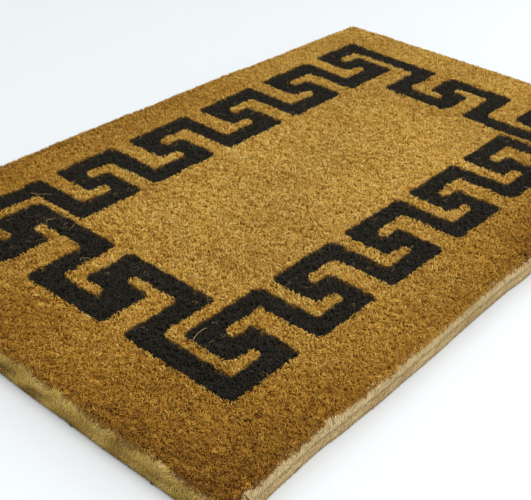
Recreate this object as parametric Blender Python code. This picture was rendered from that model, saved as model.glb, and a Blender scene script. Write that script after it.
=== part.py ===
"""Hand-woven coir door mat with a Greek-key band dyed into its pile.

The mat lies on the floor, face up. X runs along its length, Y across its width
and Z up, with the origin under the middle of the mat, on the floor.
From the floor up it holds flat warp chains, one long weft yarn, stuffer warps,
and the cut pile, which the dye parts into border, key and centre field.
Cords finish the four edges, and a knotted twine lashes each short end.
"""

import math
from collections import namedtuple

import bmesh
import bpy
from mathutils import Vector

# Overall size, in metres.
LENGTH = 0.762
WIDTH = 0.457
CORNER_RADIUS = 0.009
CLEARANCE = 0.0003

# Warp chains: flat cords that run lengthwise and lie on the floor. The outer ones lie
# under the edge cords and reach CHAIN_EDGE_INSET further in, under the weft's turns.
CHAIN_COUNT = 17
CHAIN_WIDTH = 0.0062
CHAIN_HEIGHT = 0.0032
CHAIN_ROUNDING = 0.0011
CHAIN_EDGE_INSET = 0.0010

# Weft: one yarn that runs to and fro across the whole mat, over the chains.
WEFT_DIAMETER = 0.0032
WEFT_PITCH = 0.012
WEFT_TURN_STEPS = 4

# Stuffer warps: thin cords over the weft, between the chains, under the pile.
STUFFER_DIAMETER = 0.0024

# Edge cords along the long sides (selvedge) and the short sides (end).
EDGE_CORD_DIAMETER = 0.0058

# Lashing twine round the short ends, with a knot at each chain.
TWINE_RADIUS = 0.0008
KNOT_RADIUS = 0.0014
KNOT_HALF_LENGTH = 0.0024
KNOT_STEPS = 4
LASHING_FLOOR_GAP = 0.0002

# Pile: cut fibre that stands on the weave. The dyed key is sheared a little lower.
PILE_HEIGHT = 0.0153
KEY_SINK = 0.0012
PILE_CHAMFER = 0.0035
PILE_CHAMFER_STEPS = 2

# Undyed margins between the mat's edges and the key band.
MARGIN_LEFT = 0.077
MARGIN_RIGHT = 0.056
MARGIN_FRONT = 0.062
MARGIN_BACK = 0.039

# The key band on each side of the mat. It is walked clockwise, seen from above.
# uprights: middles of the strokes that cross the whole band, as shares of the run
# between the two corners, which the bands of the neighbouring sides fill.
# stroke, slot and core: the band's rows are stroke, slot, core, slot and stroke.
# opens, turns and closes: where, as shares of the way from one upright to the next,
# the slot from outside ends, the two hooks meet, and the slot from inside begins.
Side = namedtuple("Side", "uprights stroke slot core opens turns closes")
BACK = Side((0.0393, 0.2465, 0.4825, 0.7225, 0.9530), 0.0215, 0.0130, 0.0165, 0.26, 0.52, 0.77)
RIGHT = Side((0.1923, 0.7513), 0.0210, 0.0125, 0.0165, 0.25, 0.50, 0.76)
FRONT = Side((0.0388, 0.2555, 0.4791, 0.7137, 0.9359), 0.0190, 0.0130, 0.0180, 0.29, 0.53, 0.80)
LEFT = Side((0.1278, 0.7566), 0.0220, 0.0120, 0.0190, 0.25, 0.55, 0.82)
UPRIGHT_WIDTH = 0.0205
CORNER_OPENS = 0.33
CORNER_TURNS = 0.64
CORNER_SLOT = 0.0112

# Heights of the layers above the floor. Edge cords thicker than the weave beside them
# lift the pile, and the stuffers half as far, so that the cords clear chains and pile.
CORD_EXCESS = max(0.0, EDGE_CORD_DIAMETER - WEFT_DIAMETER - CLEARANCE - STUFFER_DIAMETER)
LAYER_GAP = CLEARANCE + CORD_EXCESS / 2
WEFT_BOTTOM = CHAIN_HEIGHT + CLEARANCE
STUFFER_BOTTOM = WEFT_BOTTOM + WEFT_DIAMETER + LAYER_GAP
PILE_BOTTOM = STUFFER_BOTTOM + STUFFER_DIAMETER + LAYER_GAP
PILE_TOP = PILE_BOTTOM + PILE_HEIGHT
KEY_TOP = PILE_TOP - KEY_SINK
EDGE_CORD_LEVEL = PILE_BOTTOM - CLEARANCE - EDGE_CORD_DIAMETER / 2

# How far the layers inside the edge cords reach from the mat's middle.
INNER_X = LENGTH / 2 - EDGE_CORD_DIAMETER - CLEARANCE
INNER_Y = WIDTH / 2 - EDGE_CORD_DIAMETER - CLEARANCE
LASHING_X = LENGTH / 2 - KNOT_RADIUS
CHAIN_X = LASHING_X - KNOT_RADIUS - CLEARANCE
OUTER_CHAIN_X = LASHING_X - TWINE_RADIUS - CLEARANCE

# The key's outer box.
KEY_MIN = Vector((MARGIN_LEFT - LENGTH / 2, MARGIN_FRONT - WIDTH / 2))
KEY_MAX = Vector((LENGTH / 2 - MARGIN_RIGHT, WIDTH / 2 - MARGIN_BACK))


def clear_scene():
    for old in list(bpy.data.objects):
        bpy.data.objects.remove(old, do_unlink=True)


def make_collection(name):
    collection = bpy.data.collections.new(name)
    bpy.context.scene.collection.children.link(collection)
    return collection


def make_material(name, colour, roughness):
    material = bpy.data.materials.new(name)
    material.use_nodes = True
    shader = material.node_tree.nodes["Principled BSDF"]
    shader.inputs["Base Color"].default_value = (*colour, 1.0)
    shader.inputs["Roughness"].default_value = roughness
    shader.inputs["Metallic"].default_value = 0.0
    material.diffuse_color = (*colour, 1.0)
    return material


def finish(obj, collection, material, parent):
    """Puts a piece in the collection, under the mat's root, with its material."""
    collection.objects.link(obj)
    obj.parent = parent
    obj.data.materials.clear()
    obj.data.materials.append(material)
    return obj


def cord(name, points, diameter, thickness=None):
    """A round cord through the points. thickness scales the radius at each point."""
    curve = bpy.data.curves.new(name, "CURVE")
    curve.dimensions = "3D"
    curve.bevel_depth = diameter / 2
    curve.bevel_resolution = 2
    curve.use_fill_caps = True
    spline = curve.splines.new("POLY")
    spline.points.add(len(points) - 1)
    for index, place in enumerate(points):
        spline.points[index].co = (*place, 1.0)
        if thickness:
            spline.points[index].radius = thickness[index]
    return bpy.data.objects.new(name, curve)


def straight_x(name, half_length, y, z, diameter):
    return cord(name, [(-half_length, y, z), (half_length, y, z)], diameter)


def straight_y(name, half_length, x, z, diameter):
    return cord(name, [(x, -half_length, z), (x, half_length, z)], diameter)


def chain_places():
    """The Y of each warp chain."""
    reach = INNER_Y - CHAIN_EDGE_INSET + CHAIN_WIDTH / 2
    pitch = 2 * reach / (CHAIN_COUNT - 1)
    return [-reach + pitch * index for index in range(CHAIN_COUNT)]


def warp_chain(name, y, half_length):
    """A flat cord with rounded long edges and cut ends. The mat lies on its underside."""
    mesh = bpy.data.meshes.new(name)
    shape = bmesh.new()
    bmesh.ops.create_cube(shape, size=1.0)
    size = (2 * half_length, CHAIN_WIDTH, CHAIN_HEIGHT)
    bmesh.ops.scale(shape, vec=size, verts=shape.verts)
    long_edges = [edge for edge in shape.edges if edge.calc_length() > half_length]
    bmesh.ops.bevel(
        shape,
        geom=long_edges,
        offset=CHAIN_ROUNDING,
        offset_type="OFFSET",
        segments=2,
        profile=0.5,
        affect="EDGES",
    )
    shape.to_mesh(mesh)
    shape.free()
    chain = bpy.data.objects.new(name, mesh)
    chain.location = (0.0, y, CHAIN_HEIGHT / 2)
    return chain


def weft_route():
    """To and fro across the mat, with a half-round turn at each side."""
    reach_x = INNER_X - WEFT_DIAMETER / 2
    reach_y = INNER_Y - WEFT_DIAMETER / 2
    passes = round(2 * reach_x / WEFT_PITCH) + 1
    pitch = 2 * reach_x / (passes - 1)
    turn = pitch / 2
    height = WEFT_BOTTOM + WEFT_DIAMETER / 2
    route = [(-reach_x, -reach_y, height)]
    for index in range(passes - 1):
        x = -reach_x + pitch * index
        side = 1 if index % 2 == 0 else -1
        for step in range(WEFT_TURN_STEPS + 1):
            angle = math.pi * step / WEFT_TURN_STEPS
            across = side * (reach_y - turn + turn * math.sin(angle))
            route.append((x + turn - turn * math.cos(angle), across, height))
    last_side = 1 if (passes - 1) % 2 == 0 else -1
    route.append((reach_x, last_side * reach_y, height))
    return route


def lashing(name, x):
    """Twine along a short end at floor level. It knots at each chain but the outer ones."""
    level = LASHING_FLOOR_GAP + KNOT_RADIUS
    points = []
    thickness = []
    places = chain_places()
    for place in places[1:-1]:
        for step in range(KNOT_STEPS + 1):
            share = 2 * step / KNOT_STEPS - 1
            swell = math.sqrt(1 - share * share) * (KNOT_RADIUS - TWINE_RADIUS)
            points.append((x, place + share * KNOT_HALF_LENGTH, level))
            thickness.append(1 + swell / TWINE_RADIUS)
    ends = (x, places[0], level), (x, places[-1], level)
    points = [ends[0], *points, ends[1]]
    thickness = [1.0, *thickness, 1.0]
    return cord(name, points, 2 * TWINE_RADIUS, thickness)


def side_rows(side):
    """Depths of the band's row edges, from its outer edge inwards."""
    first = side.stroke
    second = first + side.slot
    third = second + side.core
    fourth = third + side.slot
    return 0.0, first, second, third, fourth, fourth + side.stroke


def key_loops():
    """The two closed outlines of the key, outer and inner, walked clockwise."""
    size = KEY_MAX - KEY_MIN
    walks = (
        ((LEFT, BACK, RIGHT), Vector((KEY_MIN.x, KEY_MAX.y)), Vector((1, 0)), size.x),
        ((BACK, RIGHT, FRONT), KEY_MAX, Vector((0, -1)), size.y),
        ((RIGHT, FRONT, LEFT), Vector((KEY_MAX.x, KEY_MIN.y)), Vector((-1, 0)), size.x),
        ((FRONT, LEFT, BACK), KEY_MIN, Vector((0, 1)), size.y),
    )
    outer = []
    inner = []
    for sides, start, along, length in walks:
        side_loops(sides, start, along, length, outer, inner)
    return outer, inner


def side_loops(sides, start, along, length, outer, inner):
    """Adds one side's stretch to each outline. sides are the one before, it and the next."""
    previous, side, following = sides
    inward = Vector((along.y, -along.x))

    def place(travel, depth):
        return start + along * travel + inward * depth

    rows = side_rows(side)
    run_start = side_rows(previous)[-1]
    run = length - side_rows(following)[-1] - run_start
    middles = [run_start + share * run for share in side.uprights]
    uprights = [(middle - UPRIGHT_WIDTH / 2, middle + UPRIGHT_WIDTH / 2) for middle in middles]
    uprights.append((length - following.stroke, length))
    outer.append(place(0.0, 0.0))
    inner.append(place(uprights[0][0], rows[1]))
    inner.append(place(uprights[0][0], rows[5]))
    for index, (here, there) in enumerate(zip(uprights, uprights[1:])):
        begin = here[1]
        end = there[0]
        at_corner = index == len(uprights) - 2
        if at_corner:
            closes = end - CORNER_SLOT
            opens = begin + CORNER_OPENS * (closes - begin)
            turns = begin + CORNER_TURNS * (closes - begin)
        else:
            opens = begin + side.opens * (end - begin)
            turns = begin + side.turns * (end - begin)
            closes = begin + side.closes * (end - begin)
        hook_outside = ((begin, 0), (begin, 4), (turns, 4), (turns, 3), (opens, 3), (opens, 0))
        hook_inside = ((closes, 5), (closes, 2), (turns, 2), (turns, 1), (end, 1))
        outer.extend(place(travel, rows[row]) for travel, row in hook_outside)
        inner.extend(place(travel, rows[row]) for travel, row in hook_inside)
        if not at_corner:
            inner.append(place(end, rows[5]))


def grown(outline, distance):
    """A clockwise outline with every edge moved outwards by the distance."""
    moved = []
    count = len(outline)
    for index, corner in enumerate(outline):
        before = (corner - outline[index - 1]).normalized()
        after = (outline[(index + 1) % count] - corner).normalized()
        out_before = Vector((-before.y, before.x))
        out_after = Vector((-after.y, after.x))
        moved.append(corner + (out_before + out_after) * distance)
    return moved


def mat_outline():
    """The mat's rectangle with rounded corners, walked clockwise."""
    steps = 3
    reach = Vector((LENGTH / 2 - CORNER_RADIUS, WIDTH / 2 - CORNER_RADIUS))
    quarters = ((-1, 1, math.pi), (1, 1, math.pi / 2), (1, -1, 0.0), (-1, -1, -math.pi / 2))
    outline = []
    for sign_x, sign_y, first in quarters:
        for step in range(steps + 1):
            angle = first - math.pi / 2 * step / steps
            middle = Vector((sign_x * reach.x, sign_y * reach.y))
            outline.append(middle + CORNER_RADIUS * Vector((math.cos(angle), math.sin(angle))))
    return outline


def slab(name, outlines, bottom, top):
    """A flat solid between two heights from closed outlines; the second is a hole."""
    curve = bpy.data.curves.new(name + "_outline", "CURVE")
    curve.dimensions = "2D"
    curve.fill_mode = "BOTH"
    curve.extrude = (top - bottom) / 2
    for outline in outlines:
        spline = curve.splines.new("POLY")
        spline.points.add(len(outline) - 1)
        spline.use_cyclic_u = True
        for index, corner in enumerate(outline):
            spline.points[index].co = (corner.x, corner.y, 0.0, 1.0)
    guide = bpy.data.objects.new(name + "_outline", curve)
    bpy.context.scene.collection.objects.link(guide)
    guide.location.z = (bottom + top) / 2
    bpy.context.view_layer.update()
    evaluated = guide.evaluated_get(bpy.context.evaluated_depsgraph_get())
    mesh = bpy.data.meshes.new_from_object(evaluated)
    mesh.name = name
    solid = bpy.data.objects.new(name, mesh)
    solid.matrix_world = guide.matrix_world
    bpy.data.objects.remove(guide, do_unlink=True)
    shape = bmesh.new()
    shape.from_mesh(mesh)
    bmesh.ops.remove_doubles(shape, verts=shape.verts, dist=0.00001)
    shape.to_mesh(mesh)
    shape.free()
    return solid


def chamfer_rim(solid, top):
    """Shears the pile back along the mat's top edge."""
    shape = bmesh.new()
    shape.from_mesh(solid.data)
    local_top = top - solid.location.z
    tolerance = 0.0001

    def on_rim(vertex):
        outside = Vector((abs(vertex.co.x) - LENGTH / 2, abs(vertex.co.y) - WIDTH / 2))
        near_side = max(outside.x, outside.y) > -CORNER_RADIUS
        return near_side and abs(vertex.co.z - local_top) < tolerance

    rim = [
        edge
        for edge in shape.edges
        if all(on_rim(vertex) for vertex in edge.verts)
        and any(abs(face.normal.z) < 0.5 for face in edge.link_faces)
    ]
    bmesh.ops.bevel(
        shape,
        geom=rim,
        offset=PILE_CHAMFER,
        offset_type="OFFSET",
        segments=PILE_CHAMFER_STEPS,
        profile=0.5,
        affect="EDGES",
    )
    shape.to_mesh(solid.data)
    shape.free()


def make_pile(collection, parent):
    """The three fields of pile, which meet along the key's outlines."""
    undyed = make_material("coir_pile_undyed", (0.42, 0.25, 0.07), 0.95)
    dyed = make_material("coir_pile_dyed", (0.020, 0.017, 0.014), 0.95)
    outer, inner = key_loops()
    gap = CLEARANCE / 2
    border = slab("pile_outer_border", [mat_outline(), grown(outer, gap)], PILE_BOTTOM, PILE_TOP)
    chamfer_rim(border, PILE_TOP)
    key = slab("pile_key_band", [grown(outer, -gap), grown(inner, gap)], PILE_BOTTOM, KEY_TOP)
    field = slab("pile_centre_field", [grown(inner, -gap)], PILE_BOTTOM, PILE_TOP)
    finish(border, collection, undyed, parent)
    finish(key, collection, dyed, parent)
    finish(field, collection, undyed, parent)


def make_weave(collection, parent):
    """Chains, weft and stuffers: the woven base that holds the pile."""
    yarn = make_material("coir_yarn", (0.36, 0.24, 0.10), 0.9)
    places = chain_places()
    for number, y in enumerate(places, start=1):
        half_length = OUTER_CHAIN_X if number in (1, CHAIN_COUNT) else CHAIN_X
        finish(warp_chain(f"warp_chain_{number:02d}", y, half_length), collection, yarn, parent)
    finish(cord("weft_yarn", weft_route(), WEFT_DIAMETER), collection, yarn, parent)
    height = STUFFER_BOTTOM + STUFFER_DIAMETER / 2
    for number, (left, right) in enumerate(zip(places, places[1:]), start=1):
        name = f"stuffer_warp_{number:02d}"
        stuffer = straight_x(name, INNER_X, (left + right) / 2, height, STUFFER_DIAMETER)
        finish(stuffer, collection, yarn, parent)


def make_edges(collection, parent):
    """Cords along the four edges and the knotted lashing of the short ends."""
    yarn = make_material("coir_edge_cord", (0.47, 0.36, 0.18), 0.9)
    twine = make_material("coir_twine_dark", (0.07, 0.045, 0.025), 0.9)
    side_y = WIDTH / 2 - EDGE_CORD_DIAMETER / 2
    end_x = LENGTH / 2 - EDGE_CORD_DIAMETER / 2
    corner = CORNER_RADIUS - EDGE_CORD_DIAMETER / 2
    for name, y in (("selvedge_cord_front", -side_y), ("selvedge_cord_back", side_y)):
        selvedge = straight_x(name, LENGTH / 2 - corner, y, EDGE_CORD_LEVEL, EDGE_CORD_DIAMETER)
        finish(selvedge, collection, yarn, parent)
    for name, x in (("end_cord_left", -end_x), ("end_cord_right", end_x)):
        end = straight_y(name, INNER_Y, x, EDGE_CORD_LEVEL, EDGE_CORD_DIAMETER)
        finish(end, collection, yarn, parent)
    for name, x in (("end_lashing_left", -LASHING_X), ("end_lashing_right", LASHING_X)):
        finish(lashing(name, x), collection, twine, parent)


def main():
    clear_scene()
    collection = make_collection("coir_door_mat")
    root = bpy.data.objects.new("mat_root", None)
    collection.objects.link(root)
    make_pile(collection, root)
    make_weave(collection, root)
    make_edges(collection, root)


main()
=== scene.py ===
"""The looks of a hand-woven coir door mat: real pile fibres, twisted yarns and fuzz.

Every place comes from the CAD frame. The pile is split by the dye into an undyed
border, a black key band and an undyed centre field, as the CAD solids are.
"""

import math

import bpy
import numpy as np
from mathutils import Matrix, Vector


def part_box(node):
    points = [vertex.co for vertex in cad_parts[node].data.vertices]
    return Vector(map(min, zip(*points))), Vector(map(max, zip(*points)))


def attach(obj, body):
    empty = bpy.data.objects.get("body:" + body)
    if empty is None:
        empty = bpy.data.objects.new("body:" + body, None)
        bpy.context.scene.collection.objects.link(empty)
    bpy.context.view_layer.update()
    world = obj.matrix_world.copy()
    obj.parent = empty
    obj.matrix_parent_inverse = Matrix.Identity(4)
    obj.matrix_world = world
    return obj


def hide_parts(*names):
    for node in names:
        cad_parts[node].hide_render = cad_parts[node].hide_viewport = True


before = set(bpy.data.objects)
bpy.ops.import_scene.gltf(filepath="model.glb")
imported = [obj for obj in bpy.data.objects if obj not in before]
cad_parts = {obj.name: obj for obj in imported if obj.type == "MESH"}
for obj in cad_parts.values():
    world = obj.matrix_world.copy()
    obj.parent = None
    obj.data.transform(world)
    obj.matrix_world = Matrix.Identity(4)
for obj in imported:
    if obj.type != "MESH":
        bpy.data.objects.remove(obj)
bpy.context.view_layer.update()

MM = 0.001
ROOT = "root"
SEED = 20
BAKE_MAP = "OFBake"
MOST_TRIANGLES = 190_000

# Camera.
CAMERA_PLACE = (-0.755, -0.551, 0.541)
CAMERA_TURN = (57.13, -2.76, -49.60)
CAMERA_LENS = 72.0

# The regions of the dye map.
IN_BORDER, IN_KEY, IN_FIELD = range(3)

# The dye map: its cells, how far the dye's corners are worn round and how far it has crept.
DYE_CELL = 0.5 * MM
DYE_ROUNDING = 5.0 * MM
DYE_SPREAD = 1.0 * MM
DYE_WOBBLE = 0.6 * MM
DYE_WAVE = 0.014
FIELD_OVERLAP = 3.0 * MM

# Pile: tufts on a loose grid. Each holds upright tips and curls that lie over.
TUFT_SPACING = 3.1 * MM
TIPS_PER_TUFT = 4
CURLS_PER_TUFT = 1
FIBRE_RADIUS = 0.40 * MM
TIP_LENGTH = 4.4 * MM
CURL_LENGTH = 5.6 * MM

# How tufts differ from each other. A wave is what neighbouring tufts share.
TUFT_SCATTER = 0.30
TUFT_LEAN = 0.14
TUFT_LEAN_WAVE = 0.10
TUFT_TONE = 0.10
TUFT_TONE_WAVE = 0.07
TUFT_RISE = 0.50 * MM
TUFT_RISE_WAVE = 0.30 * MM

# How fibres differ inside a tuft. They splay by FIBRE_SPLAY per millimetre.
FIBRE_SCATTER = 0.27
FIBRE_LEAN = 0.20
FIBRE_SPLAY = 0.16
FIBRE_TONE = 0.05
FIBRE_RISE = 0.25

# Pits, where the pile is parted: how deep they are, and how much painted shade darkens the fibres
# in them.
EDGE_PITS = 150
LOOSE_PITS = 260
PIT_DEPTH = 4.5 * MM
PIT_PAINTED_SHADE = 0.45

# The rim: the pile drops within SHOULDER of the outline and ends short of it.
SHOULDER = 7.0 * MM
RIM_DROP = 0.090
EDGE_WOBBLE = 0.6 * MM
RIM_AT_LONG_SIDES = 1.5
RIM_AT_ENDS = 2.0
LOBE_WIDTH = 1.8
LOBE_HEIGHT = 3.0 * MM

# Felt: the imported lower pile between the fibres. Its low share along a fibre gives it most of
# the painted root shade.
FELT_DEPTH = 3.0 * MM
FELT_CELL = 4.0 * MM
FELT_INSET = 1.5 * MM
FELT_RIM = 2.0 * MM
FELT_TONE = 0.40
FELT_PAINTED_SHADE_ALONG = 0.15

# Flanks: short fibres that lie up the mat's sides, in two bands on the long sides.
FLANK_SPACING = 1.15 * MM
FLANK_LENGTH = 5.2 * MM
FLANK_RADIUS = 0.27 * MM
FLANK_LOWEST = 0.8 * MM
BAND_LEVEL = 9.6 * MM
HATCH = 0.5
RIM_FIBRES = 9000

# Stage: the floor and the sky.
FLOOR_COLOUR = (0.62, 0.645, 0.66, 1.0)
FLOOR_REACH = 40.0
SKY_COLOUR = (0.96, 0.98, 1.0, 1.0)


def box_of(name):
    low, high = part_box(name)
    return np.array(low), np.array(high)


BORDER_LOW, BORDER_HIGH = box_of("pile_outer_border")
KEY_LOW, KEY_HIGH = box_of("pile_key_band")
PILE_TOP = BORDER_HIGH[2]
KEY_TOP = KEY_HIGH[2]
PILE_BOTTOM = BORDER_LOW[2]
HALF_X = BORDER_HIGH[0]
HALF_Y = BORDER_HIGH[1]
CORNER = 9.0 * MM


# ---- plan outlines

# The most that a wall's normal may rise.
UPRIGHT = 0.1


def rim_segments(name):
    """The plan outline of a flat CAD solid: one row of x0, y0, x1, y1 per edge of its top."""
    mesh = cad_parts[name].data
    top = max(vertex.co.z for vertex in mesh.vertices)
    found = []
    for polygon in mesh.polygons:
        if abs(polygon.normal.z) > UPRIGHT:
            continue
        corners = [mesh.vertices[index].co for index in polygon.vertices]
        for here, there in zip(corners, corners[1:] + corners[:1]):
            if min(here.z, there.z) > top - 0.01 * MM:
                found.append((here.x, here.y, there.x, there.y))
    return np.array(found)


def filled(segments, columns, rows):
    """Which cells of a grid lie inside closed outlines, by their crossings with each row."""
    cells = np.zeros((len(rows), len(columns)), bool)
    for row, y in enumerate(rows):
        spans = segments[(segments[:, 1] > y) != (segments[:, 3] > y)]
        share = (y - spans[:, 1]) / (spans[:, 3] - spans[:, 1])
        reach = np.sort(spans[:, 0] + share * (spans[:, 2] - spans[:, 0]))
        for low, high in zip(reach[::2], reach[1::2]):
            cells[row] ^= (columns >= low) & (columns < high)
    return cells


def rounded(mask, reach):
    """The mask with its corners worn round: each cell goes with the majority of a disc."""
    sums = np.pad(mask, reach + 1).astype(int).cumsum(axis=1)
    high, wide = mask.shape
    total = np.zeros(mask.shape, int)
    area = 0
    for down in range(-reach, reach + 1):
        half = round(math.sqrt(reach**2 - down**2))
        rows = sums[reach + 1 + down:][:high]
        total += rows[:, reach + 1 + half:][:, :wide] - rows[:, reach - half:][:, :wide]
        area += 2 * half + 1
    return total * 2 > area


def grown(mask, reach):
    """The mask with every cell within reach of it added."""
    found = mask.copy()
    for down in range(-reach, reach + 1):
        for right in range(-reach, reach + 1):
            if math.hypot(down, right) <= reach + 0.3:
                found |= np.roll(mask, (down, right), axis=(0, 1))
    return found


def make_dye_map():
    """A plan grid of the regions. The key is rounded and grown, as the dye has crept."""
    columns = np.arange(-HALF_X, HALF_X, DYE_CELL)
    rows = np.arange(-HALF_Y, HALF_Y, DYE_CELL)
    key = filled(rim_segments("pile_key_band"), columns, rows)
    key = grown(rounded(key, round(DYE_ROUNDING / DYE_CELL)), round(DYE_SPREAD / DYE_CELL))
    field = filled(rim_segments("pile_centre_field"), columns, rows)
    field = grown(field, round(FIELD_OVERLAP / DYE_CELL))
    return np.where(key, IN_KEY, np.where(field, IN_FIELD, IN_BORDER))


DYE_MAP = make_dye_map()


def region_of(x, y):
    """The region of the dye map that each point is in, past the dye's wavy edge."""
    wavy_x = x + DYE_WOBBLE * waves(x, y, DYE_WAVE, 6)
    wavy_y = y + DYE_WOBBLE * waves(x, y, DYE_WAVE, 7)
    high, wide = DYE_MAP.shape
    row = np.clip(((wavy_y + HALF_Y) / DYE_CELL).round().astype(int), 0, high - 1)
    column = np.clip(((wavy_x + HALF_X) / DYE_CELL).round().astype(int), 0, wide - 1)
    return DYE_MAP[row, column]


def dye_at(points):
    """1 where the key's dye has fallen, 0 elsewhere."""
    return (region_of(points[:, 0], points[:, 1]) == IN_KEY).astype(float)


def edge_distance(x, y):
    """How far inside the mat's rounded rectangle each point lies; negative outside."""
    across = np.abs(x) - (HALF_X - CORNER)
    along = np.abs(y) - (HALF_Y - CORNER)
    beyond = np.hypot(np.maximum(across, 0), np.maximum(along, 0))
    return CORNER - np.where((across > 0) & (along > 0), beyond, np.maximum(across, along))


def round_the_mat(travel):
    """Points and outward directions at distances along the mat's rounded outline.

    It starts at the front side's left end and runs to the right, back, left and front.
    """
    straight_x = 2 * (HALF_X - CORNER)
    straight_y = 2 * (HALF_Y - CORNER)
    arc = CORNER * math.pi / 2
    place = np.zeros((len(travel), 2))
    outward = np.zeros((len(travel), 2))
    start = 0.0
    legs = (
        (straight_x, (-1, -1), (1, 0), -math.pi / 2),
        (straight_y, (1, -1), (0, 1), 0.0),
        (straight_x, (1, 1), (-1, 0), math.pi / 2),
        (straight_y, (-1, 1), (0, -1), math.pi),
    )
    for length, corner, way, angle in legs:
        middle = np.array(corner) * (HALF_X - CORNER, HALF_Y - CORNER)
        normal = np.array((math.cos(angle), math.sin(angle)))
        on = (travel >= start) & (travel < start + length)
        place[on] = middle + normal * CORNER + np.outer(travel[on] - start, way)
        outward[on] = normal
        start += length
        on = (travel >= start) & (travel <= start + arc)
        turned = angle + (travel[on] - start) / CORNER
        outward[on] = np.stack([np.cos(turned), np.sin(turned)], 1)
        place[on] = middle + np.array(way) * length + outward[on] * CORNER
        start += arc
    return place, outward


OUTLINE = 4 * (HALF_X + HALF_Y) - (8 - 2 * math.pi) * CORNER

# waves() adds WAVE_COUNT sines and divides their sum by WAVE_HEIGHT.
WAVE_COUNT = 7
WAVE_HEIGHT = 3.2


def waves(x, y, size, seed):
    """Smooth noise of about -1 to 1, whose bumps are about size across.

    Every use has its own seed, which only tells its noise from the others'.
    """
    rng = np.random.default_rng(seed)
    total = np.zeros(len(x))
    for _ in range(WAVE_COUNT):
        angle = rng.uniform(0, 2 * math.pi)
        length = size * rng.uniform(0.7, 1.8)
        phase = rng.uniform(0, 2 * math.pi)
        total += np.sin((x * math.cos(angle) + y * math.sin(angle)) * 2 * math.pi / length + phase)
    return total / WAVE_HEIGHT


def waves_along(travel, size, seed):
    """Smooth noise along the mat's outline."""
    return waves(travel, 0 * travel, size, seed)


def smooth_step(value, low, high):
    share = np.clip((value - low) / (high - low), 0, 1)
    return share * share * (3 - 2 * share)


def margin(place, width, *steps):
    """How far a margin spreads along its side: a width, and steps that widen or narrow it.

    Each step is an extra width in millimetres, and the places where it starts and is whole.
    A step whose places are swapped runs the other way, towards the side's lower end.
    """
    spread = width * MM
    for extra, start, whole in steps:
        if start < whole:
            spread = spread + extra * MM * smooth_step(place, start, whole)
        else:
            spread = spread + extra * MM * smooth_step(-place, -start, -whole)
    return spread


def hand_made(points):
    """Points moved as the real mat spreads: its margins are a little wide and wavy.

    The back margin widens towards the left end, and nothing moves inside the key.
    """
    x, y = points[:, 0], points[:, 1]
    back = margin(x, 3.0, (8.5, 0.34, -0.10), (-3.5, 0.24, 0.36))
    front = margin(x, 1.2, (2.8, 0.05, -0.20), (3.2, -0.27, -0.36))
    left = margin(y, 0.6, (2.8, 0.04, -0.12))
    right = margin(y, 2.5, (4.0, 0.16, -0.03), (-3.5, 0.17, 0.225))
    slow = 0.9 * MM * waves(x, y, 0.16, 50) + 0.35 * MM * waves(x, y, 0.05, 51)
    moved = points.copy()
    moved[:, 1] += (back + slow) * smooth_step(y, KEY_HIGH[1], HALF_Y)
    moved[:, 1] -= (front + slow) * smooth_step(-y, -KEY_LOW[1], HALF_Y)
    moved[:, 0] -= (left + slow) * smooth_step(-x, -KEY_LOW[0], HALF_X)
    moved[:, 0] += (right + slow) * smooth_step(x, KEY_HIGH[0], HALF_X)
    return moved


def end_lobes(x, y):
    """Where pale fibre laps over the rim of the short ends, from 0 to 1."""
    return smooth_step(waves(y, 0.3 * np.sign(x), 0.036, 52), 0.0, 0.5)


# ---- mesh making


NO_TRIANGLES = np.zeros((0, 3), int)


def make_object(name, points, quads, triangles, material, replaced=(), values=None, uv=None):
    """A mesh object from arrays, riding on the mat. values are point attributes by name."""
    mesh = bpy.data.meshes.new(name)
    corners = np.concatenate([quads.ravel(), triangles.ravel()]).astype(np.int32)
    starts = np.concatenate([
        np.arange(len(quads)) * 4,
        len(quads) * 4 + np.arange(len(triangles)) * 3,
    ]).astype(np.int32)
    mesh.vertices.add(len(points))
    mesh.vertices.foreach_set("co", hand_made(points).astype(np.float32).ravel())
    mesh.loops.add(len(corners))
    mesh.loops.foreach_set("vertex_index", corners)
    mesh.polygons.add(len(starts))
    mesh.polygons.foreach_set("loop_start", starts)
    mesh.polygons.foreach_set("use_smooth", np.ones(len(starts), bool))
    if uv is not None:
        layer = mesh.uv_layers.new(name=BAKE_MAP)
        layer.uv.foreach_set("vector", uv.astype(np.float32).ravel())
    for key, value in (values or {}).items():
        attribute = mesh.attributes.new(key, "FLOAT", "POINT")
        attribute.data.foreach_set("value", value.astype(np.float32))
    mesh.update(calc_edges=True)
    mesh.materials.append(material)
    obj = bpy.data.objects.new(name, mesh)
    bpy.context.scene.collection.objects.link(obj)
    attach(obj, ROOT)
    if replaced:
        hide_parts(*replaced)


def unit(vectors):
    return vectors / np.maximum(np.linalg.norm(vectors, axis=-1, keepdims=True), 1e-12)


def grow(roots, lean, turn, bend, twist, length, rings):
    """Paths of fibres that start at a lean from the vertical, towards turn, and curl over.

    bend is added to the lean and twist to the turn along the whole length.
    """
    places = [roots]
    for step in range(rings):
        share = (step + 0.5) / rings
        tilt = lean + bend * share
        heading = turn + twist * share
        level = np.sin(tilt)
        way = np.stack([level * np.cos(heading), level * np.sin(heading), np.cos(tilt)], 1)
        places.append(places[-1] + way * (length / rings)[:, None])
    return np.stack(places, 1)


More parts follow.
